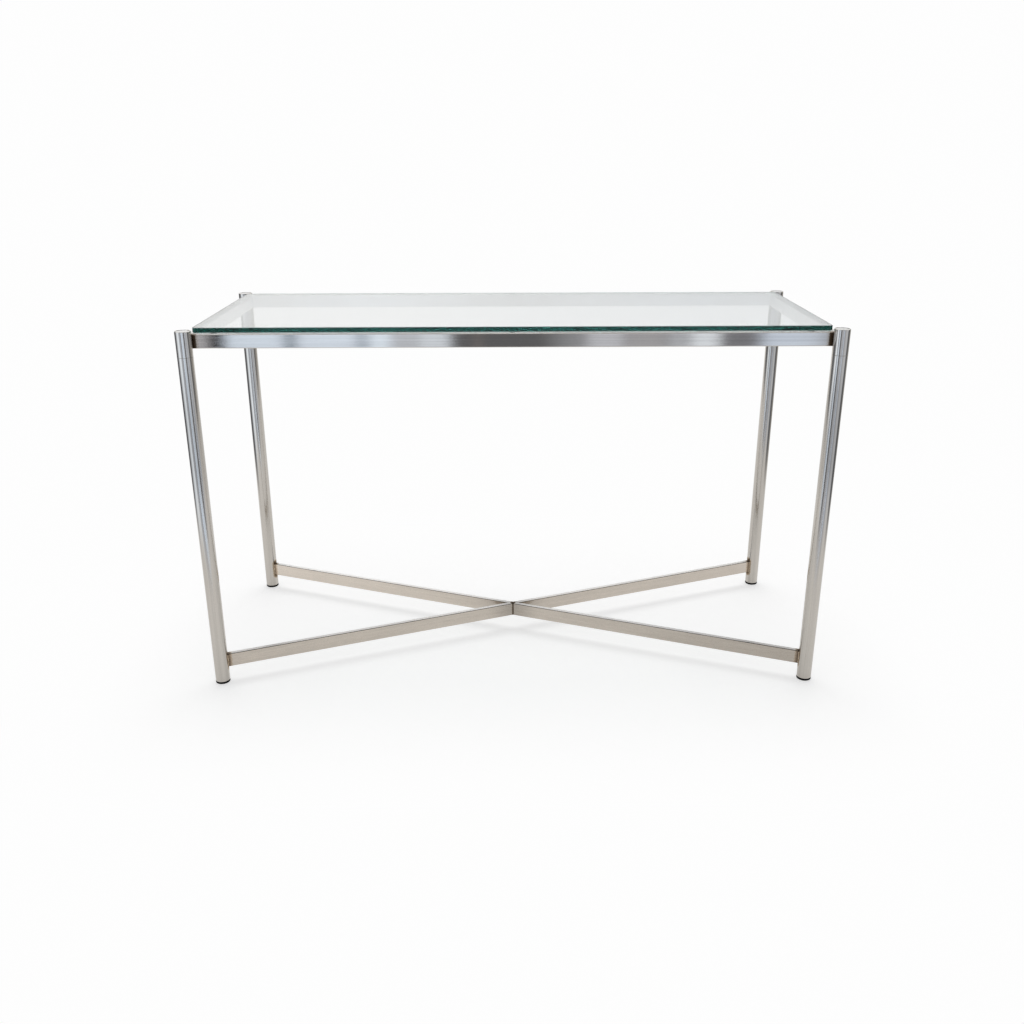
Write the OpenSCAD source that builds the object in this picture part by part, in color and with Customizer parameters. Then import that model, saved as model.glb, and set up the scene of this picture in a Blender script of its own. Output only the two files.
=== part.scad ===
// Console table: a glass top that rests on a welded tube frame, four round
// legs that screw onto short posts under the frame, and a low crossed
// stretcher. Millimetres, +Z up. The origin is on the floor at the middle of
// the table, X runs along its length and -Y is its front.

/* [Overall] */
// Distance between the leg centres along the length
leg_span_x = 1240; // [800:10:1800]
// Distance between the leg centres from front to back
leg_span_y = 480; // [320:10:760]
// Height of the leg tops above the floor
leg_top_z = 748; // [420:1:1000]

/* [Legs] */
// Outside diameter of the leg tube
leg_d = 30; // [26:0.5:40]
// Wall of the leg tube
leg_wall = 1.5; // [1:0.1:2.5]
// Length of the welded post above the joint line
post_len = 49; // [42:1:120]
// Bevel on the cut ends of the leg tubes
end_bevel = 0.4; // [0.2:0.1:0.8]
// Thickness of the disc that closes the top of a post
cap_t = 2; // [1:0.5:4]
// Depth of that disc below the rim of the tube
cap_inset = 0.5; // [0.2:0.1:1.5]

/* [Leg joint] */
// Length of each threaded plug beside the joint line
plug_len = 20; // [12:1:24]
// Diameter of the stud that draws leg and post together
stud_d = 10; // [6:1:14]
// Length of the stud, half of it in each plug
stud_len = 32; // [20:1:38]

/* [Glides] */
// Height of the glide that shows below the leg tube
glide_h = 5; // [3:0.5:12]
// Rounding of the glide's lower edge
glide_round = 1.5; // [0.5:0.1:2.5]
// Diameter of the glide's core inside the tube
glide_core_d = 22; // [16:0.5:22]
// Length of the core inside the tube
glide_core_len = 18; // [14:1:40]
// Distance from one gripping rib to the next
rib_pitch = 5; // [4:0.5:6]

/* [Top frame] */
// Width of the rail tube, seen from above
rail_w = 25; // [16:1:40]
// Height of the rail tube
rail_h = 27; // [20:1:32]
// Wall of the rail tube
rail_wall = 1.5; // [1:0.1:2.5]
// Outside corner radius of the rail tube
rail_corner_r = 2; // [1:0.1:3]
// Depth of the rail tops below the leg tops
rail_drop = 9; // [4:0.5:12]
// Depth of the post let into the long rail's face
post_bite = 2; // [1:0.5:4]
// Distance from the leg centre in to the side rail's outer face
side_rail_inset = 1; // [0:0.5:4]

/* [Glass top] */
// Thickness of the glass
glass_t = 10; // [6:1:15]
// Distance from the frame's side face in to the glass edge
glass_inset_x = 9; // [4:1:20]
// Distance from the frame's front face in to the glass edge
glass_inset_y = 9; // [4:1:20]
// Corner radius of the glass, seen from above
glass_corner_r = 8; // [3:0.5:30]
// Width of the polished bevel along the glass edges
glass_arris = 1; // [0.3:0.1:2]
// Diameter of the clear bumpers under the glass
bumper_d = 12; // [8:1:14]
// Thickness of the clear bumpers
bumper_t = 1; // [0.5:0.5:4]

/* [Stretcher] */
// Height of the stretcher bars
bar_h = 30; // [20:1:50]
// Width of the stretcher bars
bar_w = 10; // [8:1:16]
// Wall of the stretcher bars
bar_wall = 1.5; // [1:0.1:2]
// Outside corner radius of the stretcher bars
bar_corner_r = 1.5; // [0.8:0.1:2]
// Height of the stretcher's underside above the floor
bar_z = 34; // [12:1:200]

/* [Welds and fits] */
// Radius of the weld beads
bead_r = 2.2; // [1.5:0.1:3]
// Gap between two pieces that fit closely or are welded
fit_gap = 0.05; // [0.02:0.01:0.1]

/* [Hidden] */
$fn = 96;
bead_fn = 48;

leg_r = leg_d / 2;
leg_bore_r = leg_r - leg_wall;
joint_z = leg_top_z - post_len;

// The post's curve cuts into the front face of the long rail
frame_x = leg_span_x - 2 * side_rail_inset;
frame_y = leg_span_y - 2 * (leg_r - post_bite);
rail_top_z = leg_top_z - rail_drop;
rail_mid_z = rail_top_z - rail_h / 2;

glass_x = frame_x - 2 * glass_inset_x;
glass_y = frame_y - 2 * glass_inset_y;
glass_z = rail_top_z + bumper_t;

// Bumpers sit on the middle of the rails
bumper_y = frame_y / 2 - rail_w / 2;
bumper_side_x = frame_x / 2 - rail_w / 2;
bumper_far_x = frame_x / 2 - 2 * rail_w;

// The stretcher bars run between the centres of opposite legs
bar_angle = atan2(leg_span_y, leg_span_x);
bar_reach = norm([leg_span_x, leg_span_y]) / 2;
bar_mid_z = bar_z + bar_h / 2;

// How far welds stand in from the rounded corners of a tube
rail_bead_h = rail_h - 2 * rail_corner_r;
bar_bead_h = bar_h - 2 * bar_corner_r;

STEEL = "silver";
STEEL_DARK = "darkgray";
BLACK = "black";
STRAW = "rosybrown";

// ---- shared shapes ----

// Rectangle with round corners, centred
module rounded_rect(w, h, r) {
    square([w - 2 * r, h], center = true);
    square([w, h - 2 * r], center = true);
    for (x = [-1, 1], y = [-1, 1])
        translate([x * (w / 2 - r), y * (h / 2 - r)])
            circle(r = r, $fn = bead_fn);
}

// Solid bar along X with a section w wide and h high, centred
module solid_bar(length, w, h, r) {
    rotate([90, 0, 90])
        linear_extrude(height = length, center = true)
            rounded_rect(w, h, r);
}

// Hollow tube along X; its bore runs out through both ends
module box_tube(length, w, h, wall, r) {
    inner_r = max(r - wall, 0.3);
    difference() {
        solid_bar(length, w, h, r);
        solid_bar(length + 2, w - 2 * wall, h - 2 * wall, inner_r);
    }
}

// Round tube standing from z0 to z1 with beveled outer edges
module round_tube(z0, z1) {
    rotate_extrude()
        polygon([
            [leg_bore_r, z0],
            [leg_r - end_bevel, z0],
            [leg_r, z0 + end_bevel],
            [leg_r, z1 - end_bevel],
            [leg_r - end_bevel, z1],
            [leg_bore_r, z1]
        ]);
}

// Places its children on the centre line of one leg
module at_leg(sx, sy) {
    translate([sx * leg_span_x / 2, sy * leg_span_y / 2, 0])
        children();
}

// The space that the four legs fill, a little larger by the gap
module leg_spaces() {
    for (sx = [-1, 1], sy = [-1, 1])
        at_leg(sx, sy)
            cylinder(r = leg_r + fit_gap, h = leg_top_z);
}

// ---- glass and its bumpers ----

// Outline of the glass seen from one edge, with its beveled edges
module glass_section(width) {
    a = glass_arris;
    polygon([
        [-width / 2 + a, 0], [width / 2 - a, 0],
        [width / 2, a], [width / 2, glass_t - a],
        [width / 2 - a, glass_t], [-width / 2 + a, glass_t],
        [-width / 2, glass_t - a], [-width / 2, a]
    ]);
}

module glass_top() {
    r = glass_corner_r;
    a = glass_arris;
    color("lightcyan", 0.4)
        translate([0, 0, glass_z])
            union() {
                rotate([90, 0, 90])
                    linear_extrude(height = glass_x - 2 * r, center = true)
                        glass_section(glass_y);
                rotate([90, 0, 0])
                    linear_extrude(height = glass_y - 2 * r, center = true)
                        glass_section(glass_x);
                for (sx = [-1, 1], sy = [-1, 1])
                    translate([sx * (glass_x / 2 - r), sy * (glass_y / 2 - r), 0])
                        rotate_extrude()
                            polygon([
                                [0, 0], [r - a, 0], [r, a],
                                [r, glass_t - a], [r - a, glass_t], [0, glass_t]
                            ]);
            }
}

module bumper(x, y) {
    color("whitesmoke")
        translate([x, y, rail_top_z])
            cylinder(d = bumper_d, h = bumper_t);
}

// ---- top frame ----

// Plan of the frame side at the front, with its mitred ends
module long_side_plan() {
    x = frame_x / 2;
    y = frame_y / 2;
    polygon([[-x, -y], [x, -y], [x - rail_w, rail_w - y], [rail_w - x, rail_w - y]]);
}

// Plan of the frame side at the left, with its mitred ends
module short_side_plan() {
    x = frame_x / 2;
    y = frame_y / 2;
    polygon([[-x, -y], [rail_w - x, rail_w - y], [rail_w - x, y - rail_w], [-x, y]]);
}

// Front rail for side = -1, rear rail for side = 1
module long_rail(side) {
    color(STEEL)
        mirror([0, side > 0 ? 1 : 0, 0])
            difference() {
                intersection() {
                    translate([0, (rail_w - frame_y) / 2, rail_mid_z])
                        box_tube(frame_x, rail_w, rail_h, rail_wall, rail_corner_r);
                    linear_extrude(height = leg_top_z)
                        long_side_plan();
                }
                leg_spaces();
            }
}

// Left rail for side = -1, right rail for side = 1
module short_rail(side) {
    color(STEEL)
        mirror([side > 0 ? 1 : 0, 0, 0])
            difference() {
                intersection() {
                    translate([(rail_w - frame_x) / 2, 0, rail_mid_z])
                        rotate(90)
                            box_tube(frame_y, rail_w, rail_h, rail_wall, rail_corner_r);
                    linear_extrude(height = leg_top_z)
                        short_side_plan();
                }
                leg_spaces();
            }
}

// Upright beads where each post meets the two outer faces of the frame
module frame_welds() {
    face_x = leg_span_x / 2 - sqrt(pow(leg_r, 2) - pow(leg_r - post_bite, 2));
    side_y = leg_span_y / 2 - sqrt(pow(leg_r, 2) - pow(side_rail_inset, 2));
    color(STRAW)
        for (mx = [0, 1], my = [0, 1])
            mirror([mx, 0, 0])
                mirror([0, my, 0])
                    difference() {
                        for (p = [[face_x, frame_y / 2], [frame_x / 2, side_y]])
                            translate([p.x, p.y, rail_mid_z - rail_bead_h / 2])
                                cylinder(r = bead_r, h = rail_bead_h, $fn = bead_fn);
                        translate([0, 0, rail_mid_z - rail_h])
                            linear_extrude(height = 2 * rail_h)
                                square([frame_x + 2 * fit_gap, frame_y + 2 * fit_gap], center = true);
                        leg_spaces();
                    }
}

// ---- legs ----

module post(sx, sy) {
    color(STEEL)
        at_leg(sx, sy)
            round_tube(joint_z, leg_top_z);
}

module post_cap(sx, sy) {
    color(STEEL)
        at_leg(sx, sy)
            translate([0, 0, leg_top_z - cap_inset - cap_t])
                cylinder(r = leg_bore_r - fit_gap, h = cap_t);
}

// Threaded plug welded in the tube from z0 upwards
module threaded_plug(sx, sy, z0) {
    color(STEEL_DARK)
        at_leg(sx, sy)
            translate([0, 0, z0])
                difference() {
                    cylinder(r = leg_bore_r - fit_gap, h = plug_len);
                    translate([0, 0, -1])
                        cylinder(r = stud_d / 2 + fit_gap, h = plug_len + 2);
                }
}

module post_plug(sx, sy) {
    threaded_plug(sx, sy, joint_z + fit_gap);
}

module leg_plug(sx, sy) {
    threaded_plug(sx, sy, joint_z - plug_len);
}

module stud(sx, sy) {
    r = stud_d / 2;
    color(STEEL_DARK)
        at_leg(sx, sy)
            translate([0, 0, joint_z - stud_len / 2])
                rotate_extrude()
                    polygon([
                        [0, 0], [r - 1, 0], [r, 1],
                        [r, stud_len - 1], [r - 1, stud_len], [0, stud_len]
                    ]);
}

module leg(sx, sy) {
    color(STEEL)
        at_leg(sx, sy)
            round_tube(glide_h, joint_z);
}

// Plastic glide: a rounded foot and a core whose ribs grip the tube's bore
module glide(sx, sy) {
    core_r = glide_core_d / 2;
    rib_r = leg_bore_r - fit_gap;
    rib_count = floor((glide_core_len - 1) / rib_pitch);
    color(BLACK)
        at_leg(sx, sy)
            rotate_extrude()
                union() {
                    square([leg_r - glide_round, glide_h]);
                    translate([0, glide_round])
                        square([leg_r, glide_h - glide_round]);
                    translate([leg_r - glide_round, glide_round])
                        circle(r = glide_round, $fn = bead_fn);
                    square([core_r, glide_h + glide_core_len]);
                    for (i = [0 : rib_count - 1])
                        translate([0, glide_h + 1 + i * rib_pitch])
                            polygon([[0, 0], [rib_r, 0], [rib_r, 1], [core_r, 3], [0, 3]]);
                }
}

// ---- stretcher ----

// Stretcher tube along X from x0 to x1, at the stretcher's height
module bar_tube(x0, x1) {
    translate([(x0 + x1) / 2, 0, bar_mid_z])
        box_tube(x1 - x0, bar_w, bar_h, bar_wall, bar_corner_r);
}

// Runs in one piece from the rear left leg to the front right leg
module stretcher_through() {
    color(STEEL)
        difference() {
            rotate(-bar_angle)
                bar_tube(-bar_reach, bar_reach);
            leg_spaces();
        }
}

// Half bar that butts on the through bar: side = -1 goes to the front left
// leg and side = 1 to the rear right leg
module stretcher_half(side) {
    color(STEEL)
        rotate(side > 0 ? 180 : 0)
            difference() {
                rotate(bar_angle)
                    bar_tube(-bar_reach, 0);
                rotate(-bar_angle)
                    translate([-bar_reach, -bar_w / 2 - fit_gap, 0])
                        cube([2 * bar_reach, bar_reach, bar_z + 2 * bar_h]);
                leg_spaces();
            }
}

// The space that both stretcher bars fill, a little larger by the gap
module bar_spaces() {
    for (angle = [-bar_angle, bar_angle])
        rotate(angle)
            translate([-bar_reach, -bar_w / 2 - fit_gap, 0])
                cube([2 * bar_reach, bar_w + 2 * fit_gap, bar_z + 2 * bar_h]);
}

// Upright beads on both sides of each bar's end, against the leg
module stretcher_welds() {
    bead_x = bar_reach - sqrt(pow(leg_r, 2) - pow(bar_w / 2, 2));
    color(STRAW)
        difference() {
            for (angle = [-bar_angle, bar_angle], end = [-1, 1], side = [-1, 1])
                rotate(angle)
                    translate([end * bead_x, side * bar_w / 2, bar_mid_z - bar_bead_h / 2])
                        cylinder(r = bead_r, h = bar_bead_h, $fn = bead_fn);
            bar_spaces();
            leg_spaces();
        }
}

// Upright beads in the four corners where the bars cross
module centre_welds() {
    wide_x = bar_w / 2 * tan(bar_angle);
    narrow_x = -bar_w / 2 / tan(bar_angle);
    color(STRAW)
        difference() {
            for (turn = [0, 180], x = [wide_x, narrow_x])
                rotate(turn - bar_angle)
                    translate([x, -bar_w / 2, bar_mid_z - bar_bead_h / 2])
                        cylinder(r = bead_r, h = bar_bead_h, $fn = bead_fn);
            bar_spaces();
        }
}

// ---- the pieces ----

glass_top();

bumper(-bumper_far_x, -bumper_y);  // bumper_front_left
bumper(0, -bumper_y);  // bumper_front_middle
bumper(bumper_far_x, -bumper_y);  // bumper_front_right
bumper(-bumper_far_x, bumper_y);  // bumper_rear_left
bumper(0, bumper_y);  // bumper_rear_middle
bumper(bumper_far_x, bumper_y);  // bumper_rear_right
bumper(-bumper_side_x, 0);  // bumper_side_left
bumper(bumper_side_x, 0);  // bumper_side_right

long_rail(-1);  // rail_front
long_rail(1);  // rail_rear
short_rail(-1);  // rail_left
short_rail(1);  // rail_right
frame_welds();

post(-1, -1);  // post_front_left
post(1, -1);  // post_front_right
post(-1, 1);  // post_rear_left
post(1, 1);  // post_rear_right

post_cap(-1, -1);  // cap_front_left
post_cap(1, -1);  // cap_front_right
post_cap(-1, 1);  // cap_rear_left
post_cap(1, 1);  // cap_rear_right

post_plug(-1, -1);  // post_plug_front_left
post_plug(1, -1);  // post_plug_front_right
post_plug(-1, 1);  // post_plug_rear_left
post_plug(1, 1);  // post_plug_rear_right

stud(-1, -1);  // stud_front_left
stud(1, -1);  // stud_front_right
stud(-1, 1);  // stud_rear_left
stud(1, 1);  // stud_rear_right

leg_plug(-1, -1);  // leg_plug_front_left
leg_plug(1, -1);  // leg_plug_front_right
leg_plug(-1, 1);  // leg_plug_rear_left
leg_plug(1, 1);  // leg_plug_rear_right

leg(-1, -1);  // leg_front_left
leg(1, -1);  // leg_front_right
leg(-1, 1);  // leg_rear_left
leg(1, 1);  // leg_rear_right

glide(-1, -1);  // glide_front_left
glide(1, -1);  // glide_front_right
glide(-1, 1);  // glide_rear_left
glide(1, 1);  // glide_rear_right

stretcher_through();
stretcher_half(-1);  // stretcher_half_left
stretcher_half(1);  // stretcher_half_right
stretcher_welds();
centre_welds();
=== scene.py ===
"""Console table: a clear glass top on a brushed steel frame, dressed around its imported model."""

import logging
import math
from abc import ABC, abstractmethod
from dataclasses import dataclass, field, replace
from enum import Enum
from functools import partial, reduce
from itertools import product
from typing import Callable, Iterable, Optional, Sequence, Union

import bpy
from mathutils import Matrix, Vector


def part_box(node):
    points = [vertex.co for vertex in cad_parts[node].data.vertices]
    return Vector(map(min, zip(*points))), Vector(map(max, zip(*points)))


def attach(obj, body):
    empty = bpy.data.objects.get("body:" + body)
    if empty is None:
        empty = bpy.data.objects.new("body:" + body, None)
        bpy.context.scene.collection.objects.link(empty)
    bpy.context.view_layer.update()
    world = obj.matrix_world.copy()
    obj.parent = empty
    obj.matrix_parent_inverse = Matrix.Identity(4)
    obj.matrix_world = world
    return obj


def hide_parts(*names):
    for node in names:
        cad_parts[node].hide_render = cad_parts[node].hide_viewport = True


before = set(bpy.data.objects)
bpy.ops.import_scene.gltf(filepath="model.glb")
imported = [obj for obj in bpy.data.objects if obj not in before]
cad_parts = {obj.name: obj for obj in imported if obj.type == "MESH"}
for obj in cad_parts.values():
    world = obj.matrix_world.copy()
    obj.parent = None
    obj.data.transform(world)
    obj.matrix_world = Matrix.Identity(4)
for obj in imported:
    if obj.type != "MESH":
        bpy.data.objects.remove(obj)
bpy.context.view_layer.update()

LOG = logging.getLogger("console_table")

Colour = tuple[float, float, float]
Triple = tuple[float, float, float]
Socket = bpy.types.NodeSocket
Sockets = bpy.types.NodeOutputs
Value = Union[Socket, float, Sequence[float]]

BOUNCES = 20
CORNERS = tuple(f"{end}_{side}" for end in ("front", "rear") for side in ("left", "right"))


# ---- node trees ----


@dataclass
class Graph:
    """Adds nodes to the tree of a material, a world or a group, and joins them."""

    tree: bpy.types.NodeTree

    def fill(self, socket: Socket, value: Value) -> None:
        """Joins an output to a socket, or sets the socket's own value.

        Args:
            socket: the input to fill.
            value: an output socket, a number, or a colour or vector.
        """
        if isinstance(value, bpy.types.NodeSocket):
            self.tree.links.new(value, socket)
        elif isinstance(value, (int, float)):
            socket.default_value = value
        else:
            full = tuple(value)
            if len(full) == 3 and len(socket.default_value) == 4:
                full = (*full, 1.0)
            socket.default_value = full

    def node(self, kind: str, values: Optional[dict[Union[str, int], Value]] = None,
             **settings: object) -> bpy.types.Node:
        """Adds one node.

        Args:
            kind: the node's Blender type name, without ShaderNode.
            values: what its inputs get, by name or by number.
            settings: the node's own properties.

        Returns:
            The new node.
        """
        made = self.tree.nodes.new(f"ShaderNode{kind}")
        for key, setting in settings.items():
            setattr(made, key, setting)
        for key, value in (values or {}).items():
            self.fill(made.inputs[key], value)
        return made

    def math(self, operation: str, *values: Value, clamp: bool = False) -> Socket:
        """Adds a Math node and returns its result."""
        made = self.node("Math", dict(enumerate(values)), operation=operation, use_clamp=clamp)
        return made.outputs[0]

    def plus(self, first: Value, second: Value) -> Socket:
        """Adds two values."""
        return self.math("ADD", first, second)

    def minus(self, first: Value, second: Value, clamp: bool = False) -> Socket:
        """Takes the second value from the first."""
        return self.math("SUBTRACT", first, second, clamp=clamp)

    def times(self, first: Value, second: Value) -> Socket:
        """Multiplies two values."""
        return self.math("MULTIPLY", first, second)

    def vector(self, operation: str, *values: Value) -> Socket:
        """Adds a Vector Math node and returns its vector, or its number for LENGTH."""
        made = self.node("VectorMath", dict(enumerate(values)), operation=operation)
        return made.outputs["Value" if operation == "LENGTH" else "Vector"]

    def span(self, value: Value, low: Value, high: Value, out_low: Value = 0.0,
             out_high: Value = 1.0) -> Socket:
        """Maps low..high to out_low..out_high with soft ends, and holds it there."""
        made = self.node("MapRange", {0: value, 1: low, 2: high, 3: out_low, 4: out_high},
                         interpolation_type="SMOOTHSTEP")
        return made.outputs[0]

    def mix(self, share: Value, first: Value, second: Value, blend: str = "MIX") -> Socket:
        """Mixes two colours.

        Args:
            share: how much of the second colour shows, from 0 to 1.
            first: the colour underneath.
            second: the colour on top.
            blend: Blender's name for the way that they mix.

        Returns:
            The mixed colour.
        """
        made = self.node("Mix", {"Factor": share}, data_type="RGBA", blend_type=blend)
        self.fill(made.inputs[6], first)
        self.fill(made.inputs[7], second)
        return made.outputs[2]

    def shade(self, colour: Value, level: Value) -> Socket:
        """Multiplies a colour by a number."""
        return self.mix(1.0, colour, self.join(level, level, level), "MULTIPLY")

    def noise(self, place: Value, scale: Value, detail: float = 2.0,
              roughness: float = 0.5) -> Socket:
        """Adds a Noise node and returns its value, from 0 to 1."""
        return self.add("TexNoise", Vector=place, Scale=scale, Detail=detail,
                        Roughness=roughness)

    def ramp(self, share: Value, stops: Sequence[tuple[float, Colour]]) -> Socket:
        """Adds a Color Ramp.

        Args:
            share: where the ramp is read, from 0 to 1.
            stops: each stop's position and colour.

        Returns:
            The colour there.
        """
        made = self.node("ValToRGB", {"Fac": share})
        points = made.color_ramp.elements
        while len(points) < len(stops):
            points.new(1.0)
        for point, (position, colour) in zip(points, stops):
            point.position = position
            point.color = (*colour, 1.0)
        return made.outputs[0]

    def parts(self, place: Value) -> tuple[Socket, Socket, Socket]:
        """Splits a vector and returns its X, Y and Z."""
        made = self.node("SeparateXYZ", {0: place})
        return made.outputs[0], made.outputs[1], made.outputs[2]

    def join(self, x: Value, y: Value, z: Value) -> Socket:
        """Makes a vector from X, Y and Z."""
        return self.node("CombineXYZ", {0: x, 1: y, 2: z}).outputs[0]

    def fold(self, x: Value, y: Value, z: Value, centre_x: Value, centre_y: Value) -> Socket:
        """Joins X, Y and Z, measured from an upright line that each quarter has one of."""
        return self.join(self.minus(self.math("ABSOLUTE", x), centre_x),
                         self.minus(self.math("ABSOLUTE", y), centre_y), z)

    def place(self) -> Socket:
        """Returns the point on the surface, in the object's coordinates."""
        return self.node("TexCoord").outputs["Object"]

    def upward(self) -> Socket:
        """Returns how far the surface faces upwards, from -1 to 1."""
        return self.parts(self.node("TexCoord").outputs["Normal"])[2]

    def bump(self, height: Value, depth: float, strength: float = 1.0) -> Socket:
        """Turns a height from 0 to 1 into a normal, with the depth in metres."""
        return self.add("Bump", Height=height, Distance=depth, Strength=strength)

    def ray(self, label: str) -> Socket:
        """Returns one of the facts that a Light Path node knows about a ray."""
        return self.node("LightPath").outputs[label]

    def seen(self) -> Socket:
        """Returns 1 for a ray that no matt surface has scattered."""
        return self.math("LESS_THAN", self.ray("Diffuse Depth"), 0.5)

    def mirrored(self) -> Socket:
        """Returns 1 for a ray that a surface has mirrored, and 0 for one that glass passed."""
        return self.minus(self.ray("Is Glossy Ray"), self.ray("Is Transmission Ray"), clamp=True)

    def add(self, kind: str, **values: Value) -> Socket:
        """Adds one node and fills its inputs by name.

        Args:
            kind: the node's Blender type name, without ShaderNode.
            values: what its inputs get, with _ for each space in a name.

        Returns:
            Its first output.
        """
        named = {label.replace("_", " "): value for label, value in values.items()}
        return self.node(kind, named).outputs[0]

    def blend(self, share: Value, first: Value, second: Value) -> Socket:
        """Mixes two shaders."""
        return self.node("MixShader", {0: share, 1: first, 2: second}).outputs[0]

    def show(self, surface: Value) -> bpy.types.Node:
        """Adds the material's output with its surface."""
        return self.node("OutputMaterial", {"Surface": surface})


# ---- effects that several finishes share ----


class Kind(Enum):
    """The type of a group's socket."""

    NUMBER = "NodeSocketFloat"
    VECTOR = "NodeSocketVector"
    COLOUR = "NodeSocketColor"


class Effect(ABC):
    """A shader node group that is built once and placed in each material."""

    name: str = ""
    takes: dict[str, Kind] = {}
    gives: dict[str, Kind] = {}

    def group(self) -> bpy.types.NodeTree:
        """Returns the node group, built at the first call."""
        found = bpy.data.node_groups.get(self.name)
        if found is not None:
            return found
        tree = bpy.data.node_groups.new(self.name, "ShaderNodeTree")
        for label, kind in self.takes.items():
            tree.interface.new_socket(label, in_out="INPUT", socket_type=kind.value)
        for label, kind in self.gives.items():
            tree.interface.new_socket(label, in_out="OUTPUT", socket_type=kind.value)
        graph = Graph(tree)
        start, end = tree.nodes.new("NodeGroupInput"), tree.nodes.new("NodeGroupOutput")
        for label, result in self.wire(graph, start.outputs).items():
            graph.fill(end.inputs[label], result)
        return tree

    @abstractmethod
    def wire(self, graph: Graph, given: Sockets) -> dict[str, Socket]:
        """Builds the inside of the group.

        Args:
            graph: the group's own graph.
            given: the group's inputs, as sockets to read.

        Returns:
            A result for each of the group's outputs, by name.
        """

    def put(self, graph: Graph, **values: Value) -> Sockets:
        """Places the group in a material.

        Args:
            graph: the material's graph.
            values: what the group's inputs get, with _ for each space in a name.

        Returns:
            The placed group's outputs.
        """
        made = graph.node("Group", node_tree=self.group())
        for label, value in values.items():
            graph.fill(made.inputs[label.replace("_", " ")], value)
        return made.outputs


class BrushGrain(Effect):
    """Fine lines that a belt leaves in steel, in bundles, drawn out by the Stretch vector."""

    name = "brush_grain"
    takes = {"Place": Kind.VECTOR, "Stretch": Kind.VECTOR}
    gives = {"Lines": Kind.NUMBER, "Bundles": Kind.NUMBER}
    bundle_scale = 0.11

    def wire(self, graph: Graph, given: Sockets) -> dict[str, Socket]:
        """Stretches two noises, one fine and one about ten times as wide."""
        drawn = graph.vector("MULTIPLY", given["Place"], given["Stretch"])
        return {"Lines": graph.noise(drawn, 1.0, 3.0, 0.65),
                "Bundles": graph.noise(drawn, self.bundle_scale, 2.0, 0.5)}


class JointReach(Effect):
    """How far a point is from a welded joint: 0 on it, 1 where its heat no longer reaches.

    The four joints of a kind mirror each other, so X and Y are folded on to one quarter.
    """

    name = "joint_reach"
    takes = {"Place": Kind.VECTOR, "Joint": Kind.VECTOR, "Radius": Kind.NUMBER,
             "Half Height": Kind.NUMBER, "Reach": Kind.NUMBER}
    gives = {"Share": Kind.NUMBER}

    def wire(self, graph: Graph, given: Sockets) -> dict[str, Socket]:
        """Measures the distance to an upright, round-ended joint."""
        x, y, z = graph.parts(given["Place"])
        joint_x, joint_y, joint_z = graph.parts(given["Joint"])
        off_z = graph.math("ABSOLUTE", graph.minus(z, joint_z))
        past_z = graph.math("MAXIMUM", graph.minus(off_z, given["Half Height"]), 0.0)
        off = graph.vector("LENGTH", graph.fold(x, y, past_z, joint_x, joint_y))
        away = graph.math("MAXIMUM", graph.minus(off, given["Radius"]), 0.0)
        return {"Share": graph.math("DIVIDE", away, given["Reach"])}


class HeatTint(Effect):
    """Oxide colours beside a weld.

    With Soot at 1 they go from soot over brown grey to bare steel, and with Soot at 0 from
    brown over straw.
    """

    name = "heat_tint"
    takes = {"Place": Kind.VECTOR, "Share": Kind.NUMBER, "Soot": Kind.NUMBER}
    gives = {"Tint": Kind.COLOUR, "Scale": Kind.NUMBER}
    fray_scale = 520.0
    fray_depth = 1.1

    def wire(self, graph: Graph, given: Sockets) -> dict[str, Socket]:
        """Frays the distance with noise and reads the colours from it."""
        fray = graph.minus(graph.noise(given["Place"], self.fray_scale, 3.0, 0.7), 0.5)
        share = graph.math("ADD", given["Share"], graph.times(fray, self.fray_depth), clamp=True)
        dark = graph.ramp(share, ((0.0, (0.13, 0.115, 0.10)), (0.25, (0.25, 0.22, 0.20)),
                                  (0.45, (0.44, 0.40, 0.37)), (0.65, (0.74, 0.68, 0.61)),
                                  (0.85, (0.93, 0.90, 0.87)), (1.0, (1.0, 1.0, 1.0))))
        straw = graph.ramp(share, ((0.0, (0.36, 0.28, 0.20)), (0.3, (0.50, 0.40, 0.30)),
                                   (0.5, (0.66, 0.56, 0.45)), (0.7, (0.82, 0.73, 0.61)),
                                   (0.85, (0.94, 0.89, 0.82)), (1.0, (1.0, 1.0, 1.0))))
        return {"Tint": graph.mix(given["Soot"], straw, dark),
                "Scale": graph.minus(1.0, share)}


class SoftMarks(Effect):
    """Faint clouds from wiping and handling, with a finer speckle."""

    name = "soft_marks"
    takes = {"Place": Kind.VECTOR, "Size": Kind.NUMBER}
    gives = {"Clouds": Kind.NUMBER, "Speckle": Kind.NUMBER}
    speckles_per_cloud = 60.0

    def wire(self, graph: Graph, given: Sockets) -> dict[str, Socket]:
        """Reads a wide and a fine noise at the given size."""
        scale = graph.math("DIVIDE", 1.0, given["Size"])
        fine = graph.times(scale, self.speckles_per_cloud)
        return {"Clouds": graph.noise(given["Place"], scale, 3.0, 0.55),
                "Speckle": graph.noise(given["Place"], fine, 2.0, 0.6)}


class TurnedRings(Effect):
    """Rings that a lathe leaves round each leg's upright centre line."""

    name = "turned_rings"
    takes = {"Place": Kind.VECTOR, "Centre": Kind.VECTOR, "Pitch": Kind.NUMBER}
    gives = {"Rings": Kind.NUMBER}

    def wire(self, graph: Graph, given: Sockets) -> dict[str, Socket]:
        """Reads noise by the distance from the centre line and by height."""
        x, y, z = graph.parts(given["Place"])
        centre_x, centre_y, _ = graph.parts(given["Centre"])
        away = graph.vector("LENGTH", graph.fold(x, y, 0.0, centre_x, centre_y))
        spot = graph.join(graph.math("DIVIDE", away, given["Pitch"]),
                          graph.math("DIVIDE", z, given["Pitch"]), 0.0)
        return {"Rings": graph.noise(spot, 1.0, 2.0, 0.6)}


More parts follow.
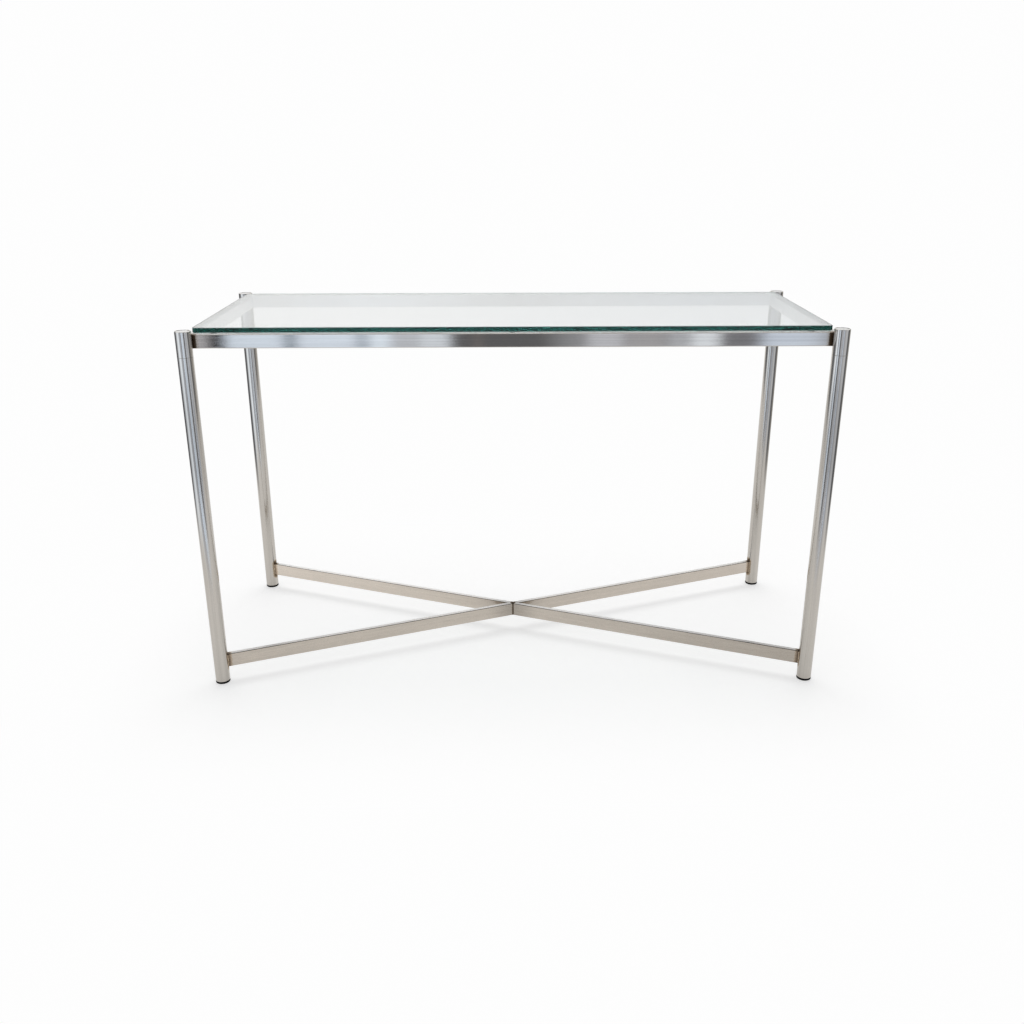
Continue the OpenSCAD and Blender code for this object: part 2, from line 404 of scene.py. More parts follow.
GRAIN, REACH, HEAT = BrushGrain(), JointReach(), HeatTint()
MARKS, RINGS = SoftMarks(), TurnedRings()


# ---- finishes ----


@dataclass(frozen=True)
class Finish(ABC):
    """A material with a name of its own."""

    name: str

    def material(self) -> bpy.types.Material:
        """Returns the material, built at the first call."""
        found = bpy.data.materials.get(self.name)
        if found is not None:
            return found
        made = bpy.data.materials.new(self.name)
        made.use_nodes = True
        made.node_tree.nodes.clear()
        self.wire(Graph(made.node_tree))
        return made

    @abstractmethod
    def wire(self, graph: Graph) -> None:
        """Builds the material's nodes.

        Args:
            graph: the material's empty graph.
        """


@dataclass(frozen=True)
class HeatZone:
    """Where one kind of welded joint has coloured the steel. Lengths in metres."""

    joint: Triple
    radius: float
    half_height: float
    reach: float

    def share(self, graph: Graph, place: Socket) -> Socket:
        """Returns 0 at the joint, and 1 and more where its heat does not reach."""
        return REACH.put(graph, Place=place, Joint=self.joint, Radius=self.radius,
                         Half_Height=self.half_height, Reach=self.reach)["Share"]


@dataclass(frozen=True)
class PaintedShading:
    """Painted light and shade on the steel, set by place. Lengths in metres.

    Slopes add painted light that changes along X and Y, middle paints shade at the middle of
    the table, and waist paints shade on the front legs round one height.
    """

    slopes: tuple[float, float] = (0.0, 0.0)
    middle: float = 0.0
    middle_reach: float = 0.075
    waist: float = 0.0
    waist_height: float = 0.54
    waist_reach: tuple[float, float] = (0.05, 0.16)
    front_fade: float = 0.1

    def shift(self, graph: Graph, level: Value, place: Socket) -> Value:
        """Adds the painted light and shade at the place to the steel's level.

        Args:
            graph: the material's graph.
            level: the level so far, about 1.
            place: the point on the surface.

        Returns:
            The new level.
        """
        x, y, z = graph.parts(place)
        for part, slope in zip((x, y), self.slopes):
            if slope:
                level = graph.plus(level, graph.times(part, slope))
        if self.middle:
            off = graph.vector("LENGTH", graph.join(x, y, 0.0))
            level = graph.minus(level, graph.span(off, 0.0, self.middle_reach, self.middle, 0.0))
        if self.waist:
            off = graph.math("ABSOLUTE", graph.minus(z, self.waist_height))
            dull = graph.times(graph.span(off, *self.waist_reach, self.waist, 0.0),
                               graph.span(y, -self.front_fade, self.front_fade, 1.0, 0.0))
            level = graph.minus(level, dull)
        return level


@dataclass(frozen=True)
class BrushedSteel(Finish):
    """Satin stainless steel, brushed along one direction, with heat tint at its welds.

    Depths are shares of the colour, and each roughness is added to the last. Lengths in metres.
    Flat upward faces are lightened as a painted highlight. The rounded edges beside them are
    multiplied by an edge level, which is painted shade below 1 and a painted highlight above 1.
    """

    brush: Triple
    stretch: Triple
    turn: float = 0.0
    zones: tuple[HeatZone, ...] = ()
    grain_turn: float = 0.25
    colour: Colour = (0.50, 0.47, 0.43)
    roughness: float = 0.083
    bundle_roughness: float = 0.035
    cloud_roughness: float = 0.02
    heat_roughness: float = 0.30
    anisotropy: float = 1.0
    groove: float = 0.000012
    line_depth: float = 0.22
    bundle_depth: float = 0.5
    speckle_depth: float = 0.12
    cloud_depth: float = 0.10
    cloud_size: float = 0.09
    top_painted_highlight: Colour = (0.84, 0.82, 0.79)
    top_roughness: float = 0.28
    soot: float = 0.0
    painted_edge_level: float = 1.0
    # painted light and shade, set by place
    painted_shading: PaintedShading = PaintedShading()
    mill_inside: Optional[tuple[int, float]] = None
    mill_colour: Colour = (1.0, 0.995, 0.98)
    mill_roughness: float = 0.32
    mill_lean: float = 0.36
    mill_border: float = 0.0005

    def wire(self, graph: Graph) -> None:
        """Brush lines in the colour, roughness and relief, and a tint from each zone."""
        place = graph.place()
        along = graph.add("Mapping", Vector=place, Rotation=(0.0, 0.0, self.turn))
        grain = GRAIN.put(graph, Place=along, Stretch=self.stretch)
        marks = MARKS.put(graph, Place=place, Size=self.cloud_size)
        laid, edge = self.faces(graph)
        mill = self.mill(graph, place)
        # Painted light: flat upward faces take a lighter colour as a painted highlight, and the
        # rounded edges are multiplied by the edge level, painted shade below 1 and painted
        # highlight above 1.
        colour = graph.mix(laid, self.colour, self.top_painted_highlight)
        colour = graph.mix(edge, colour, tuple(part * self.painted_edge_level for part in self.colour))
        if self.mill_inside:
            colour = graph.mix(mill, colour, self.mill_colour)
        level: Value = 1.0
        for noise, depth in ((grain["Lines"], self.line_depth),
                             (grain["Bundles"], self.bundle_depth),
                             (marks["Speckle"], self.speckle_depth),
                             (marks["Clouds"], self.cloud_depth)):
            level = graph.plus(level, graph.times(graph.minus(noise, 0.5), depth))
        # Painted light and shade by place, from the slopes, the middle and the waist.
        colour = graph.shade(colour, self.painted_shading.shift(graph, level, place))
        rough: Value = self.roughness
        for mask, depth in ((grain["Bundles"], self.bundle_roughness),
                            (marks["Clouds"], self.cloud_roughness),
                            (mill, self.mill_roughness), (laid, self.top_roughness)):
            rough = graph.plus(rough, graph.times(mask, depth))
        if self.zones:
            nearest = reduce(partial(graph.math, "MINIMUM"),
                             [zone.share(graph, place) for zone in self.zones])
            heat = HEAT.put(graph, Place=place, Share=nearest, Soot=self.soot)
            colour = graph.mix(1.0, colour, heat["Tint"], "MULTIPLY")
            rough = graph.plus(rough, graph.times(heat["Scale"], self.heat_roughness))
        normal: Value = graph.bump(grain["Lines"], self.groove)
        if self.mill_inside:
            lean = graph.join(0.0, 0.0, graph.times(mill, -self.mill_lean))
            normal = graph.vector("NORMALIZE", graph.vector("ADD", normal, lean))
        graph.show(graph.add("BsdfPrincipled", Base_Color=colour, Metallic=1.0, Roughness=rough,
                             Anisotropic=self.anisotropy, Anisotropic_Rotation=self.grain_turn,
                             Tangent=graph.join(*self.brush), Normal=normal))

    @staticmethod
    def faces(graph: Graph) -> tuple[Socket, Socket]:
        """Returns masks for the faces that lie flat and for the rounded edges beside them, which
        carry the painted highlight and the painted edge shade.
        """
        up = graph.upward()
        return graph.span(up, 0.86, 0.97), graph.times(graph.span(up, 0.10, 0.30),
                                                       graph.span(up, 0.80, 0.92, 1.0, 0.0))

    def mill(self, graph: Graph, place: Socket) -> Value:
        """Finds the side of a rail that kept the mill's own dull skin.

        Args:
            graph: the material's graph.
            place: the point on the surface.

        Returns:
            A mask for the inner side, or 0 where there is none.
        """
        if not self.mill_inside:
            return 0.0
        axis, line = self.mill_inside
        off = graph.math("ABSOLUTE", graph.parts(place)[axis])
        return graph.span(off, line + self.mill_border, line - self.mill_border)


@dataclass(frozen=True)
class TurnedSteel(Finish):
    """Steel faced on a lathe: the discs in the post tops, the plugs and the studs."""

    centre: Triple
    colour: Colour = (0.50, 0.47, 0.43)
    roughness: float = 0.30
    pitch: float = 0.0007
    ring_tone: float = 0.3
    ring_depth: float = 0.00003

    def wire(self, graph: Graph) -> None:
        """Rings in the colour and the relief, and clouds in the roughness."""
        place = graph.place()
        rings = RINGS.put(graph, Place=place, Centre=self.centre, Pitch=self.pitch)["Rings"]
        clouds = MARKS.put(graph, Place=place, Size=0.02)["Clouds"]
        level = graph.plus(graph.times(rings, self.ring_tone), 1 - self.ring_tone / 2)
        rough = graph.span(clouds, 0.2, 0.8, self.roughness - 0.06, self.roughness + 0.08)
        graph.show(graph.add("BsdfPrincipled", Base_Color=graph.shade(self.colour, level),
                             Metallic=1.0, Roughness=rough,
                             Normal=graph.bump(rings, self.ring_depth)))


@dataclass(frozen=True)
class WeldMetal(Finish):
    """A weld bead: dark scale in its valleys, brown and straw on its crests."""

    # tone multiplies the colour; below 1 it is painted shade.
    tone: float = 1.0
    blotch_scale: float = 520.0
    pitting: float = 0.0001

    def wire(self, graph: Graph) -> None:
        """Blotches of scale, brown and straw."""
        place = graph.place()
        blotch = graph.noise(place, self.blotch_scale, 3.0, 0.6)
        colour = graph.ramp(blotch, ((0.28, (0.20, 0.15, 0.11)), (0.42, (0.36, 0.275, 0.19)),
                                     (0.56, (0.56, 0.45, 0.33)), (0.75, (0.74, 0.65, 0.53))))
        fine = MARKS.put(graph, Place=place, Size=0.02)["Speckle"]
        graph.show(graph.add("BsdfPrincipled", Base_Color=graph.shade(colour, self.tone),
                             Metallic=1.0, Roughness=graph.span(blotch, 0.3, 0.7, 0.65, 0.46),
                             Normal=graph.bump(fine, self.pitting, 0.7)))


@dataclass(frozen=True)
class ClearGlass(Finish):
    """Float glass with green depth, polished edges and fine ground bevels.

    A tilt leans the normal upwards, and rim_ends is where along X the edge's end colour begins
    and is full, in metres.
    """

    colour: Colour = (1.0, 0.975, 0.98)
    body: Colour = (0.12, 0.50, 0.46)
    depth: float = 6.0
    passed: Colour = (0.94, 0.95, 0.945)
    face_sheen: float = 0.32
    wiped: float = 0.018
    rim_colour: Colour = (0.10, 0.28, 0.26)
    rim_end_colour: Colour = (0.06, 0.21, 0.18)
    rim_ends: tuple[float, float] = (0.35, 0.6)
    rim_roughness: float = 0.10
    rim_relief: float = 0.000003
    rim_tilt: float = 0.5
    bevel_roughness: float = 0.25
    bevel_tilt: float = 30.0

    def wire(self, graph: Graph) -> None:
        """Clear faces with faint wiping marks, and masks that find the edges by the normal."""
        place = graph.place()
        up = graph.upward()
        steep = graph.math("ABSOLUTE", up)
        rim = graph.span(steep, 0.1, 0.3, 1.0, 0.0)
        bevel = graph.times(graph.span(steep, 0.25, 0.5), graph.span(steep, 0.8, 0.95, 1.0, 0.0))
        face = graph.span(steep, 0.95, 0.99, 0.0, self.face_sheen)
        above = graph.span(up, 0.2, 0.4)
        below = graph.times(bevel, graph.minus(1.0, above))
        marks = MARKS.put(graph, Place=place, Size=0.16)
        lines = GRAIN.put(graph, Place=place, Stretch=(5.0, 5.0, 1800.0))["Lines"]
        wiped = graph.span(marks["Clouds"], 0.45, 0.8, 0.0, self.wiped)
        rough = graph.plus(graph.math("MAXIMUM", wiped, graph.times(rim, self.rim_roughness)),
                           graph.times(bevel, self.bevel_roughness))
        relief = graph.bump(graph.times(lines, rim), self.rim_relief)
        lift = graph.plus(graph.times(rim, self.rim_tilt),
                          graph.times(graph.times(bevel, above), self.bevel_tilt))
        crowned = graph.vector("NORMALIZE",
                               graph.vector("ADD", relief, graph.join(0.0, 0.0, lift)))
        out_along = graph.math("ABSOLUTE", graph.parts(place)[0])
        green = graph.mix(graph.span(out_along, *self.rim_ends), self.rim_colour,
                          self.rim_end_colour)
        shader = graph.add("BsdfPrincipled", Base_Color=graph.mix(rim, self.colour, green),
                           Roughness=rough, Metallic=0.0, IOR=1.52, Transmission_Weight=1.0,
                           Normal=crowned, Coat_Weight=graph.plus(below, face), Coat_IOR=3.0,
                           Coat_Roughness=0.2)
        clear = graph.add("BsdfTransparent", Color=self.passed)
        out = graph.show(graph.blend(graph.ray("Is Shadow Ray"), shader, clear))
        volume = graph.add("VolumeAbsorption", Color=self.body, Density=self.depth)
        graph.fill(out.inputs["Volume"], volume)


@dataclass(frozen=True)
class ClearRubber(Finish):
    """Soft clear bumper under the glass, a little milky."""

    colour: Colour = (0.90, 0.91, 0.90)
    milky: Colour = (0.97, 0.97, 0.97)

    def wire(self, graph: Graph) -> None:
        """A clear body whose surface is clouded."""
        marks = MARKS.put(graph, Place=graph.place(), Size=0.006)
        graph.show(graph.add(
            "BsdfPrincipled", Base_Color=graph.mix(marks["Clouds"], self.colour, self.milky),
            Roughness=graph.span(marks["Clouds"], 0.2, 0.8, 0.06, 0.20), Metallic=0.0, IOR=1.25,
            Transmission_Weight=1.0, Alpha=0.3, Normal=graph.bump(marks["Speckle"], 0.00002)))


@dataclass(frozen=True)
class BlackPlastic(Finish):
    """Moulded black polymer with a fine spark-eroded texture."""

    colour: Colour = (0.003, 0.003, 0.0035)
    scuffed: Colour = (0.011, 0.011, 0.012)

    def wire(self, graph: Graph) -> None:
        """A dull skin with a fine pebbled relief and paler scuffs."""
        marks = MARKS.put(graph, Place=graph.place(), Size=0.012)
        scuffs = graph.span(marks["Clouds"], 0.55, 0.8, 0.0, 0.5)
        graph.show(graph.add(
            "BsdfPrincipled", Base_Color=graph.mix(scuffs, self.colour, self.scuffed),
            Roughness=graph.span(marks["Speckle"], 0.2, 0.8, 0.38, 0.60), Metallic=0.0, IOR=1.5,
            Specular_IOR_Level=0.04, Normal=graph.bump(marks["Speckle"], 0.00006, 0.6)))


# ---- assemblies ----


def paint(nodes: Iterable[str], finish: Finish) -> None:
    """Gives CAD nodes a finish.

    Args:
        nodes: the nodes' names.
        finish: what they are dressed in.
    """
    for name in nodes:
        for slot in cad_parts[name].material_slots:
            slot.material = finish.material()
        LOG.info("dressed %s in %s", name, finish.name)


def deselect() -> None:
    """Leaves nothing selected."""
    bpy.ops.object.select_all(action="DESELECT")


def pick(piece: bpy.types.Object, wanted: Callable[[Vector], bool]) -> None:
    """Selects some points of the active piece, and leaves it in edit mode.

    Args:
        piece: the active piece.
        wanted: tells which points to select.
    """
    bpy.ops.object.mode_set(mode="EDIT")
    bpy.ops.mesh.select_mode(type="VERT")
    bpy.ops.mesh.select_all(action="DESELECT")
    bpy.ops.object.mode_set(mode="OBJECT")
    for vertex in piece.data.vertices:
        vertex.select = wanted(vertex.co)
    bpy.ops.object.mode_set(mode="EDIT")


def upright(node: str) -> tuple[float, float]:
    """Returns the height of a CAD node's middle and half the node's own height."""
    low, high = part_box(node)
    return (low.z + high.z) / 2, (high.z - low.z) / 2


@dataclass
class Bead:
    """One upright weld bead with a rippled skin. Lengths in metres."""

    radius: float
    height: float
    pitch: float = 0.0021
    swell: float = 1.13
    slope: float = 0.22

    def build(self, name: str) -> bpy.types.Object:
        """Models the bead about the origin.

        Args:
            name: the new object's name.

        Returns:
            The bead, with domed ends and a ripple each pitch.
        """
        deselect()
        bpy.ops.mesh.primitive_cylinder_add(vertices=14, radius=self.radius / self.swell,
                                            depth=self.height - self.radius, location=(0, 0, 0))
        bead = bpy.context.active_object
        bead.name = name
        tilt = Vector((0.0, -self.slope, 1.0)).normalized()
        rippled = self.height - 2 * self.radius
        count = max(4, round(2 * rippled / self.pitch))
        levels = [(step / (count - 1) - 0.5) * rippled for step in range(count)]
        bpy.ops.object.mode_set(mode="EDIT")
        bpy.ops.mesh.select_mode(type="VERT")
        for level in levels:
            bpy.ops.mesh.select_all(action="SELECT")
            bpy.ops.mesh.bisect(plane_co=(0, 0, level), plane_no=tilt)
        for step, level in enumerate(levels):
            if step % 2:
                self.grow_ring(bead, tilt, level)
        for end in (-1, 1):
            self.round_end(bead, end)
        bpy.ops.object.mode_set(mode="OBJECT")
        bead.modifiers.new("smooth", "SUBSURF").levels = 1
        bpy.ops.object.modifier_apply(modifier="smooth")
        bpy.ops.object.shade_smooth_by_angle(angle=math.radians(60))
        return bead

    def grow_ring(self, bead: bpy.types.Object, tilt: Vector, level: float) -> None:
        """Swells the ring of points on one tilted plane."""
        pick(bead, lambda point: abs((point - Vector((0, 0, level))).dot(tilt)) < 1e-6)
        bpy.ops.transform.resize(value=(self.swell, self.swell, 1.0))

    def round_end(self, bead: bpy.types.Object, end: int) -> None:
        """Draws one end out to a dome, in two steps.

        Args:
            bead: the bead.
            end: 1 for the upper end, and -1 for the lower.
        """
        edge = end * (self.height - self.radius) / 2
        pick(bead, lambda point: abs(point.z - edge) < 1e-6)
        for rise, size in ((0.35, 0.72), (0.15, 0.4)):
            bpy.ops.mesh.extrude_region_move(
                TRANSFORM_OT_translate={"value": (0, 0, end * self.radius * rise)})
            bpy.ops.transform.resize(value=(size, size, 1.0))


@dataclass
class BeadRun:
    """All the beads of one kind, as one piece that stands for one CAD node."""

    name: str
    stands_for: str
    spots: list[Triple]
    middle_z: float
    radius: float = 0.0017
    finish: WeldMetal = WeldMetal("weld_metal")
    slot: str = "weld_steel"

    def build(self) -> bpy.types.Object:
        """Models one bead, copies it to each spot and joins the copies.

        Returns:
            The finished piece.
        """
        model = Bead(self.radius, 2 * upright(self.stands_for)[1]).build(f"{self.name}_model")
        copies = []
        for index, (x, y, turn) in enumerate(self.spots):
            copy = model.copy()
            copy.data = model.data.copy()
            upside = Matrix.Rotation(math.pi * (index % 2), 4, "X")
            copy.data.transform(Matrix.Translation((x, y, self.middle_z))
                                @ Matrix.Rotation(turn, 4, "Z") @ upside)
            bpy.context.scene.collection.objects.link(copy)
            copies.append(copy)
        bpy.data.objects.remove(model)
        deselect()
        for copy in copies:
            copy.select_set(True)
        piece = copies[0]
        bpy.context.view_layer.objects.active = piece
        bpy.ops.object.join()
        piece.name = self.name
        piece.data.materials.clear()
        piece.data.materials.append(self.finish.material())
        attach(piece, "base")
        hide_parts(self.stands_for)
        LOG.info("built %s for %s from %d beads", self.name, self.stands_for, len(copies))
        return piece


@dataclass
class Layout:
    """The places that the other assemblies work from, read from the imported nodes.

    A zone's numbers are the radius, half height and reach of the heat, in metres.
    """

    leg_x: float = field(init=False)
    leg_y: float = field(init=False)
    leg_r: float = field(init=False)
    rail_z: float = field(init=False)
    rail_half: float = field(init=False)
    rail_face_x: float = field(init=False)
    rail_face_y: float = field(init=False)
    bar_z: float = field(init=False)
    bar_half: float = field(init=False)
    bar_half_width: float = 0.005

    def __post_init__(self) -> None:
        """Reads the boxes."""
        low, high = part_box("leg_rear_right")
        self.leg_x, self.leg_y = (low.x + high.x) / 2, (low.y + high.y) / 2
        self.leg_r = (high.x - low.x) / 2
        self.rail_z, self.rail_half = upright("rail_rear")
        self.rail_face_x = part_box("rail_right")[1].x
        self.rail_face_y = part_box("rail_rear")[1].y
        self.bar_z, self.bar_half = upright("stretcher_through")

    @property
    def bar_angle(self) -> float:
        """The angle between a stretcher bar and X."""
        return math.atan2(self.leg_y, self.leg_x)

    @property
    def bar_reach(self) -> float:
        """The distance from the middle of the table to a leg's centre."""
        return math.hypot(self.leg_x, self.leg_y)

    def post_zone(self) -> HeatZone:
        """Heat on the rails from the posts."""
        return HeatZone((self.leg_x, self.leg_y, self.rail_z), self.leg_r, 1.0, 0.013)

    def leg_zone(self) -> HeatZone:
        """Heat on the bars from the legs."""
        return HeatZone((self.leg_x, self.leg_y, self.bar_z), self.leg_r, 1.0, 0.0095)

    def crossing_zone(self) -> HeatZone:
        """Heat on the bars from the crossing."""
        return HeatZone((0.0, 0.0, self.bar_z), 0.0045, 1.0, 0.0024)

    def bar_end_zone(self) -> HeatZone:
        """Heat on the legs from the bars."""
        share = 1 - self.leg_r / self.bar_reach
        return HeatZone((self.leg_x * share, self.leg_y * share, self.bar_z),
                        self.bar_half_width, self.bar_half, 0.006)

    def rail_end_zone(self) -> HeatZone:
        """Heat on the posts from the rails."""
        inset = self.leg_r * 0.707
        return HeatZone((self.leg_x - inset, self.leg_y - inset, self.rail_z), 0.008,
                        self.rail_half, 0.004)


@dataclass
class GlassTop:
    """The loose glass top and the clear bumpers that it lies on."""

    glass: str = "glass_top"
    bumpers: tuple[str, ...] = ("front_left", "front_middle", "front_right", "rear_left",
                                "rear_middle", "rear_right", "side_left", "side_right")

    def dress(self) -> None:
        """Gives the glass and the bumpers their finishes."""
        paint([self.glass], ClearGlass("clear_glass"))
        paint([f"bumper_{place}" for place in self.bumpers], ClearRubber("clear_rubber"))


@dataclass
class TopFrame:
    """The welded frame of four rails, with its beads at the posts."""

    layout: Layout
    along: float = 9.0
    across: float = 2300.0
    half_width: float = 0.0125

    def build(self) -> None:
        """Models the beads between the posts and the outer faces of the rails."""
        at = self.layout
        face_x = at.leg_x - math.sqrt(at.leg_r ** 2 - (at.leg_y - at.rail_face_y) ** 2)
        side_y = at.leg_y - math.sqrt(at.leg_r ** 2 - (at.leg_x - at.rail_face_x) ** 2)
        spots = []
        for x, y in product((-1, 1), (-1, 1)):
            spots.append((x * face_x, y * at.rail_face_y, 0.0 if y < 0 else math.pi))
            spots.append((x * at.rail_face_x, y * side_y, x * math.pi / 2))
        BeadRun("frame_weld_beads", "frame_welds", spots, at.rail_z).build()

    def dress(self) -> None:
        """Gives the rails brushed steel, brushed along their length."""
        at = self.layout
        for nodes, name, axis, face in (
                (("rail_front", "rail_rear"), "rail_steel_long", 0, at.rail_face_y),
                (("rail_left", "rail_right"), "rail_steel_short", 1, at.rail_face_x)):
            brush, stretch = [0.0] * 3, [self.across] * 3
            brush[axis], stretch[axis] = 1.0, self.along
            # The rails' flat tops take a near-white painted highlight, and their rounded edges a
            # painted highlight at 1.7 times the steel's colour.
            paint(nodes, BrushedSteel(name, tuple(brush), tuple(stretch),
                                      zones=(at.post_zone(),), soot=1.0, painted_edge_level=1.7,
                                      top_painted_highlight=(0.96, 0.94, 0.91),
                                      mill_inside=(1 - axis, face - self.half_width)))


@dataclass
class LegSet:
    """The four posts and legs with their discs, plugs, studs and glides."""

    layout: Layout
    along: float = 5.0
    across: float = 900.0

    def dress(self) -> None:
        """Gives each kind of piece its finish."""
        at = self.layout
        centre = (at.leg_x, at.leg_y, 0.0)
        # The front legs get a painted shade round 0.54 m up, from the waist.
        tube = BrushedSteel("leg_steel_tube", (0.0, 0.0, 1.0),
                            (self.across, self.across, self.along), grain_turn=0.0,
                            line_depth=0.33, bundle_depth=0.30, speckle_depth=0.22,
                            roughness=0.048, zones=(at.bar_end_zone(),),
                            painted_shading=PaintedShading(waist=0.17))
        post = replace(tube, name="post_steel_tube", zones=(at.rail_end_zone(),), painted_shading=PaintedShading())
        # The post-top discs take a lighter colour than the other turned steel, as a painted
        # highlight on their upward faces.
        disc = TurnedSteel("cap_steel_disc", centre, (0.86, 0.85, 0.83))
        turned = TurnedSteel("machined_steel", centre, roughness=0.36)
        for part, finish in (("leg", tube), ("post", post), ("cap", disc), ("post_plug", turned),
                             ("leg_plug", turned), ("stud", turned),
                             ("glide", BlackPlastic("glide_plastic"))):
            paint((f"{part}_{corner}" for corner in CORNERS), finish)


@dataclass
class Stretcher:
    """The crossed bars between the legs, with the beads at their ends and crossing."""

    layout: Layout
    along: float = 60.0
    across: float = 2300.0

    def build(self) -> None:
        """Models the beads at the legs and in the corners of the crossing."""
        at = self.layout
        half = at.bar_half_width
        end = at.bar_reach - math.sqrt(at.leg_r ** 2 - half ** 2)
        spots = [self.spun(way * end, side * half, angle) for angle, way, side
                 in product((at.bar_angle, -at.bar_angle), (-1, 1), (-1, 1))]
        BeadRun("stretcher_weld_beads", "stretcher_welds", spots, at.bar_z).build()
        steep = math.tan(at.bar_angle)
        corners = [self.spun(x, -half, turn - at.bar_angle) for turn, x
                   in product((0.0, math.pi), (half * steep, -half / steep))]
        # The beads in the corners of the crossing are darkened to 0.30, a painted shade in the
        # corners between the bars.
        BeadRun("crossing_weld_beads", "centre_welds", corners, at.bar_z, 0.0019,
                WeldMetal("weld_metal_shaded", 0.30)).build()

    @staticmethod
    def spun(x: float, y: float, angle: float) -> Triple:
        """Turns a bead's place about the middle, and adds the way that its ripples face."""
        turned = Matrix.Rotation(angle, 2) @ Vector((x, y))
        return turned.x, turned.y, angle + (0.0 if y < 0 else math.pi)

    def dress(self) -> None:
        """Gives each bar steel that is brushed along its own length."""
        at = self.layout
        zones = (at.leg_zone(), at.crossing_zone())
        # The bars' rounded edges are darkened to 0.26 as painted shade, their flat tops take the
        # painted highlight, and the place adds painted light towards the rear and the left and
        # painted shade at the crossing.
        for nodes, name, angle in ((("stretcher_through",), "bar_steel_through", -at.bar_angle),
                                   (("stretcher_half_left", "stretcher_half_right"),
                                    "bar_steel_half", at.bar_angle)):
            paint(nodes, BrushedSteel(name, (math.cos(angle), math.sin(angle), 0.0),
                                      (self.along, self.across, self.across), turn=-angle,
                                      zones=zones, colour=(0.55, 0.495, 0.434), painted_edge_level=0.26,
                                      painted_shading=PaintedShading((-0.12, 0.60), middle=0.32), soot=0.4,
                                      line_depth=0.34, bundle_depth=0.18, speckle_depth=0.36))


# ---- studio ----

WHITE = 0.987


@dataclass(frozen=True)
class Paper(Finish):
    """White paper on the floor: white to look at, with the table's soft shadow."""

    albedo: float = 0.82
    light: float = 0.765
    shadow_share: float = 0.75
    half_length: float = 0.62
    half_depth: float = 0.25
    fade: float = 0.42
    mirrored: float = 0.975
    mirrored_back: float = 0.015
    mirrored_right: float = -0.025
    lean_back: tuple[float, float] = (-0.35, 0.3)
    lean_right: tuple[float, float] = (-0.6, 0.6)

    def wire(self, graph: Graph) -> None:
        """A matt sheet for the light, a white one with soft shadows for the eye, and in
        reflections a slightly darker one with painted light towards the rear left.
        """
        x, y, _ = graph.parts(graph.place())
        past_x = graph.minus(graph.math("ABSOLUTE", x), self.half_length)
        past_y = graph.minus(graph.math("ABSOLUTE", y), self.half_depth)
        away = graph.vector("LENGTH", graph.join(graph.math("MAXIMUM", past_x, 0.0),
                                                 graph.math("MAXIMUM", past_y, 0.0), 0.0))
        keep = graph.span(away, 0.02, self.fade, self.shadow_share, 0.0)
        grain = graph.noise(graph.place(), 900.0, 2.0)
        matt = graph.mix(grain, (self.albedo - 0.01,) * 3, (self.albedo + 0.01,) * 3)
        level = graph.minus(WHITE, graph.times(keep, self.albedo * self.light))
        shaded = graph.add("BsdfDiffuse", Color=graph.mix(keep, (0.0, 0.0, 0.0), matt))
        shown = graph.add("Emission", Strength=level)
        shown = graph.node("AddShader", {0: shown, 1: shaded}).outputs[0]
        # In reflections the paper is darkened by one minus tone, with painted light that grows
        # towards the rear and the left.
        lean_y = graph.span(y, *self.lean_back, -self.mirrored_back, self.mirrored_back)
        lean_x = graph.span(x, *self.lean_right, -self.mirrored_right, self.mirrored_right)
        tone = graph.plus(graph.plus(self.mirrored, lean_x), lean_y)
        mirror = graph.times(graph.mirrored(), graph.minus(1.0, tone))
        shown = graph.blend(mirror, shown, graph.add("Emission", Strength=0.0))
        surface = graph.blend(graph.seen(), graph.add("BsdfDiffuse", Color=matt), shown)
        under = graph.node("NewGeometry").outputs["Backfacing"]
        graph.show(graph.blend(under, surface, graph.add("BsdfTransparent")))


@dataclass(frozen=True)
class Surround(Finish):
    """The glow of the studio's walls and light panels, kept in the mesh as a colour."""

    above: Colour = (0.12, 0.12, 0.13)
    above_fade: tuple[float, float] = (1.1, 1.5)
    behind_fade: tuple[float, float] = (1.4, 0.8)
    ceiling_fade: tuple[float, float] = (2.1, 2.6)

    def wire(self, graph: Graph) -> None:
        """Shows the colour, and lets the top of the wall fade into the ceiling."""
        kept = graph.node("Attribute", attribute_name="glow").outputs
        _, y, height = graph.parts(graph.place())
        over = graph.times(graph.span(height, *self.above_fade),
                           graph.span(y, *self.behind_fade))
        glow = graph.mix(over, kept["Color"], self.above)
        share = graph.math("MAXIMUM", graph.span(height, *self.ceiling_fade),
                           graph.minus(1.0, kept["Alpha"]))
        graph.show(graph.blend(share, graph.add("Emission", Color=glow),
                               graph.add("BsdfTransparent")))


@dataclass(frozen=True)
class Panel:
    """An upright light panel, or a dark gap, in the studio's round wall.

    Angles are in degrees from straight ahead of the table, and grow towards its right.
    """

    start: float
    end: float
    glow: Colour
    soft: float = 0.6

    def share(self, angle: float) -> float:
        """Returns how much of the panel covers the wall at an angle, from 0 to 1."""
        inside = min(angle - self.start, self.end - angle)
        return min(1.0, max(0.0, inside / self.soft + 0.5))


